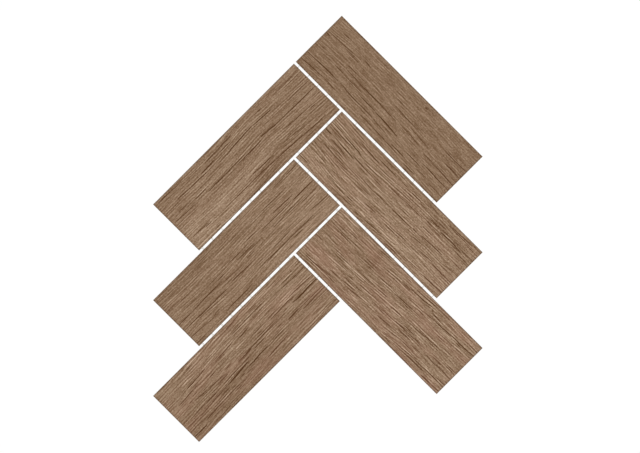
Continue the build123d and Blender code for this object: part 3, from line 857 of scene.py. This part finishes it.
# %% The glaze material
def glaze(name):
    """The printed and embossed face of one tile."""
    grain = GRAINS[name]
    seed = seed_of(name)
    material, tap = new_material(f"oak_glaze_{name}")
    place = tap.node("ShaderNodeUVMap", {"uv_map": "grain"})
    pore, pale, shade, rim = (
        tap.node("ShaderNodeAttribute", {"attribute_name": layer}, out="Fac")
        for layer in ("pore", "pale", "shade", "rim")
    )
    stretch = grain["length"] * MM
    bands = place.noise((4 * stretch, 7 * MM, 1), seed, detail=1)
    fine = place.noise((1.1 * stretch, 0.95 * MM, 1), seed + 20)
    flecks = place.noise((5 * MM, 1.1 * MM, 1), seed + 10)
    grit = place.noise((1.3 * MM, 1.0 * MM, 1), seed + 30)
    across = place.node("ShaderNodeSeparateXYZ", inputs={0: place}, out="Y")

    def off_line(step, seed):
        """How far, in steps, a point is from the nearest of many lines that flow with the fibres."""
        flow = place.noise((2.5 * stretch, 3 * step, 1), seed, detail=1)
        ring = across * (1 / step) + FLOW * flow
        return ring.maths("PINGPONG", ring, 0.5)

    def patchy(step, seed):
        """A strength from 0 to 1 that comes and goes along the fibres, and every step across them."""
        return place.noise((1.5 * stretch, step, 1), seed).between(-0.45, 0.5)

    def lines(step, seed):
        """Thin lines about a step apart that fade in and out, and add up to nothing on average."""
        share = LINE_HALF / step
        return (1 - share - off_line(step, seed).between(0.0, share)) * patchy(0.8 * step, seed + 1)

    dark_lines = lines(VESSEL_STEPS[0], seed + 40) + 0.5 * lines(VESSEL_STEPS[1], seed + 50)
    pale_lines = lines(RIDGE_STEP, seed + 60)
    combed = (1 - 4 * off_line(COMB_STEP, seed + 80)) * patchy(3 * COMB_STEP, seed + 81)
    fibres = FINE * fine + FLECKS * flecks + GRIT * grit
    brushwork = RIDGED * pale_lines + COMBED * combed
    tone = grain["tone"] + shade + SLOW * grain["bands"] * bands + grain["contrast"] * fibres
    tone = tone - grain["lines"] * dark_lines + grain["brushed"] * brushwork
    # the last term is painted shade: it darkens the face in a band along its edges
    tone = tone + PALE_TONE * pale + PORE_TONE * pore + EDGE_SHADE_TONE * rim
    blush = place.noise((3 * stretch, 8 * MM, 1), seed + 70).between(-0.6, 1.2) * (0.5 * grain["pink"])
    colour = blush.mixed(tone.ramp(BROWNS), PINK)
    matt = 0.72 - 0.10 * tone
    show_surface(tap, colour, roughness=matt, gloss=0.2, relief=tone, strength=0.5, depth=0.12 * MM)
    return material


# %% [markdown]
# ## The sawn body
#
# The sides show the porcelain itself: a dense beige body with fine specks, and faint lines left by the
# saw along each side. The ground bevel is painted a darker brown, as painted shade along the tile's edges.
# A wave texture would look too regular for a saw, so the lines are noise that is stretched level and
# squeezed in height.

# %% The sawn material
BODY = [(0, srgb(121, 101, 82)), (0.5, srgb(164, 143, 121)), (1, srgb(194, 176, 155))]
# painted shade: the darker brown of the ground bevel along the tile's edges
PAINTED_EDGE_SHADE = srgb(104, 78, 52)


def sawn():
    """The cut sides of the porcelain, and the ground bevel in painted shade."""
    material, tap = new_material("sawn_porcelain")
    place = tap.node("ShaderNodeTexCoord", out="Object")
    specks = place.noise((0.35 * MM, 0.35 * MM, 0.35 * MM), 3, detail=2, roughness=0.7)
    clouds = place.noise((9 * MM, 9 * MM, 5 * MM), 5, detail=1)
    lines = place.noise((22 * MM, 22 * MM, 0.3 * MM), 7, detail=1)
    height = place.node("ShaderNodeSeparateXYZ", inputs={0: place}, out="Z")
    # on the bevel the body's colour turns to painted shade
    bevel = height.between(tile_top - 1.2 * arris, tile_top - arris)
    tone = 0.55 + 0.16 * specks + 0.12 * clouds + 0.16 * lines
    colour = bevel.mixed(tone.ramp(BODY), PAINTED_EDGE_SHADE)
    show_surface(tap, colour, roughness=0.8, gloss=0.25, relief=tone, strength=0.4, depth=0.1 * MM)
    return material


# %% [markdown]
# ## The back
#
# The back left the kiln on rollers dusted with white wash, which stays on the ribs as a pale haze,
# while the keying grooves keep the plain body. Height separates the two: the shader reads the object
# coordinate z, which is lowest on the ribs. Beside each strand of the net the ribs are darker and
# shinier, where the glue has crept out from under it. That film could be a mesh of its own, but it
# has no thickness to see, so the shader measures how far a point is from the nearest strand.

# %% The back material
WASHED = [(0, srgb(116, 97, 80)), (0.45, srgb(154, 135, 116)), (1, srgb(208, 201, 190))]
STRANDS_PER_WIDTH = 5
GLUE_REACH = 1.1 * MM  # from the middle of a strand
GLUE_FADE = 0.4 * MM  # how softly the film ends
RIB_FADE = (0.05 * MM, 0.4 * MM)  # above the ribs, where the wash ends
mesh_pitch = tile_pitch / STRANDS_PER_WIDTH
FIRST_STRAND = (tile_width - (STRANDS_PER_WIDTH - 1) * mesh_pitch) / 2


def back():
    """The ribbed, kiln-washed back."""
    material, tap = new_material("porcelain_back")
    place = tap.node("ShaderNodeTexCoord", out="Object")
    height = place.node("ShaderNodeSeparateXYZ", inputs={0: place}, out="Z")
    rib = 1 - height.between(tile_back + RIB_FADE[0], tile_back + RIB_FADE[1])
    wash = place.noise((7 * MM, 7 * MM, 7 * MM), 11, detail=4, roughness=0.7).between(-0.5, 1.0)
    specks = place.noise((0.4 * MM, 0.4 * MM, 0.4 * MM), 13, detail=2, roughness=0.7)
    spread = (place.noise((5 * MM, 5 * MM, 5 * MM), 17, detail=2) * 0.5 + 1) * GLUE_REACH
    counted = tap.node("ShaderNodeUVMap", {"uv_map": "grain"})
    films = []
    for axis in "XY":
        away = counted.node("ShaderNodeSeparateXYZ", inputs={0: counted}, out=axis) - FIRST_STRAND
        off_strand = away.maths("PINGPONG", away * (1 / mesh_pitch), 0.5) * mesh_pitch
        films.append((spread - off_strand).between(0, GLUE_FADE))
    glue = tap.maths("MAXIMUM", *films) * rib
    tone = 0.30 + 0.45 * wash * rib + 0.14 * specks - 0.22 * glue
    matt = 0.88 - 0.45 * glue
    colour = tone.ramp(WASHED)
    show_surface(tap, colour, roughness=matt, gloss=0.25, relief=specks, strength=0.4, depth=0.1 * MM)
    return material


# %% [markdown]
# ## Six finished tiles
#
# The tiles differ only in where they lie and in their grain, so one loop makes them all. Each is built
# and grained in its own frame, turned into place, and given its three materials in the order of its
# slots. It then takes the place of its packed tile.

# %% Make the six tiles
sawn_material = sawn()
back_material = back()
for name, seat in seats.items():
    mesh = gridded_tile(name, seat)
    grained(mesh, name)
    mesh.transform(seat)
    for material in (glaze(name), sawn_material, back_material):
        mesh.materials.append(material)
    tile = placed(mesh.name, mesh)
    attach(tile, "root")
    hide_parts(f"tile_{name}")

# %% [markdown]
# ## The net
#
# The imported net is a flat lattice. A real one is woven: each warp strand is a pair of yarns that cross
# between wefts and grip them, one above and one below, and each weft is one wide flat yarn.
#
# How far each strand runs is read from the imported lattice, so that the yarns end where it does: in the
# middle of the joints, where the next piece takes over, and a little inside the sheet's outer edges.

# %% Find the strands
STRAND_REACH = 0.7 * MM  # a packed strand lies within this of its middle


def strands_of(name, seat):
    """For each packed strand: its direction (0 along the tile, 1 across), its place, start and end."""
    points = points_of(f"net_{name}", seat)
    found = []
    for axis in (0, 1):
        other = 1 - axis
        reach = tile_pitch / 2 if other == 1 else (tile_length + tile_pitch - tile_width) / 2
        spine = 1 if name.startswith("left") and other == 0 else -1
        place = mesh_pitch / 2
        while place < 2 * reach:
            centre = spine * (reach - place)
            on_strand = np.abs(points[:, other] - centre) < STRAND_REACH
            if on_strand.any():
                ends = points[on_strand][:, axis]
                found.append((axis, centre, ends.min(), ends.max()))
            place += mesh_pitch
    return found


print("strands of the first part:", len(strands_of("right_1", seats["right_1"])))

# %% [markdown]
# ## Yarns, pressed flat
#
# The yarns could be swept tubes of mesh, but a curve with a bevel is the natural thing for a yarn. They
# are drawn round and too tall, and then pressed flat, as the coating rollers press them.

# %% The yarns
YARN_WIDTH = 0.6 * MM  # of each of the two yarns of a warp; a weft is one yarn twice as wide
net_top = tile_back
yarn_height = net_top / 3
print("yarn, mm:", YARN_WIDTH / MM, "wide and", round(yarn_height / MM, 3), "high")


def pressed_yarns(routes, width):
    """A mesh of yarns drawn along routes of (x, y, z) points, pressed flat to one yarn's height."""
    curve = bpy.data.curves.new("yarns", "CURVE")
    curve.dimensions = "3D"
    curve.bevel_depth = width / 2
    curve.bevel_resolution = 1
    curve.use_fill_caps = True
    for route in routes:
        spline = curve.splines.new("POLY")
        spline.points.add(len(route) - 1)
        for point, place in zip(spline.points, route):
            point.co = (*place, 1)
    holder = bpy.data.objects.new("yarns", curve)
    mesh = bpy.data.meshes.new_from_object(holder)
    bpy.data.objects.remove(holder)
    bpy.data.curves.remove(curve)
    mesh.transform(Matrix.Diagonal((1, 1, yarn_height / width, 1)))
    return mesh


def route_along(axis, places, offsets, height, width):
    """Points at places along an axis of the tile, set off to the side and, once pressed, up."""
    lift = height * width / yarn_height
    points = zip(places, np.broadcast_to(offsets, len(places)))
    return [(a, b, lift) if axis == 0 else (b, a, lift) for a, b in points]


# %% [markdown]
# ## Weaving one part
#
# The two yarns of a warp change sides halfway between one weft and the next, so their distance from the
# middle follows a cosine, and they lie one over and one under the weft. The wefts run straight.

# %% Weave one part of the net
YARN_STEPS = 8  # parts of a warp from one weft to the next


def past_first_weft(axis, places):
    """How far each place along a warp lies past the first weft; it is negative before it."""
    cell = tile_pitch if axis == 1 else tile_length + tile_pitch - tile_width
    return places - (cell - mesh_pitch) / 2


def woven_net(name, seat):
    """The yarns of one part of the net, as a mesh in place."""
    warp_axis = 0 if name.startswith("left") else 1
    warps, wefts = [], []
    for axis, centre, start, end in strands_of(name, seat):
        if axis != warp_axis:
            wefts.append(route_along(axis, [start, end], centre, 0, 2 * YARN_WIDTH))
            continue
        parts = max(2, round((end - start) / (mesh_pitch / YARN_STEPS)))
        places = np.linspace(start, end, parts + 1)
        swing = 0.5 * YARN_WIDTH * np.cos(math.pi * past_first_weft(axis, places) / mesh_pitch)
        for hand in (-1, 1):
            warps.append(route_along(axis, places, centre + hand * swing, hand * yarn_height, YARN_WIDTH))
    bm = bmesh.new()
    for routes, width in ((warps, YARN_WIDTH), (wefts, 2 * YARN_WIDTH)):
        yarns = pressed_yarns(routes, width)
        bm.from_mesh(yarns)
        bpy.data.meshes.remove(yarns)
    bm.transform(seat @ Matrix.Translation((0, 0, net_top / 2)))
    for face in bm.faces:
        face.smooth = True
    mesh = bpy.data.meshes.new(f"glass_net_{name}")
    bm.to_mesh(mesh)
    bm.free()
    return mesh


# %% [markdown]
# ## The net's finish
#
# The yarns are white glass fibre in a thin coat of resin: white, slightly warm, with a soft sheen and
# fine grooves between the filaments. Noise at the scale of a filament bundle is enough at this size.

# %% The net material
WHITES = [(0, srgb(234, 233, 227)), (1, srgb(254, 254, 252))]


def net_white():
    """Resin-coated glass yarn."""
    material, tap = new_material("coated_glass_yarn")
    place = tap.node("ShaderNodeTexCoord", out="Object")
    filaments = place.noise((0.25 * MM, 0.25 * MM, 0.25 * MM), 17, detail=2)
    coat = place.noise((5 * MM, 5 * MM, 5 * MM), 19, detail=1)
    tone = 0.6 + 0.12 * filaments + 0.18 * coat
    white = tone.ramp(WHITES)
    show_surface(tap, white, roughness=0.5, gloss=0.4, relief=filaments, strength=0.5, depth=0.05 * MM)
    return material


# %% [markdown]
# ## Six parts of net
#
# The real net is one sheet. It is divided here as it is packed, at the middle of the joints, so that
# each part stays with its tile. All six share one material, so that no seam shows between them.

# %% Make the net
net_material = net_white()
for name, seat in seats.items():
    mesh = woven_net(name, seat)
    mesh.materials.append(net_material)
    net = placed(mesh.name, mesh)
    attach(net, "root")
    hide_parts(f"net_{name}")
    print(mesh.name, len(mesh.polygons), "faces")
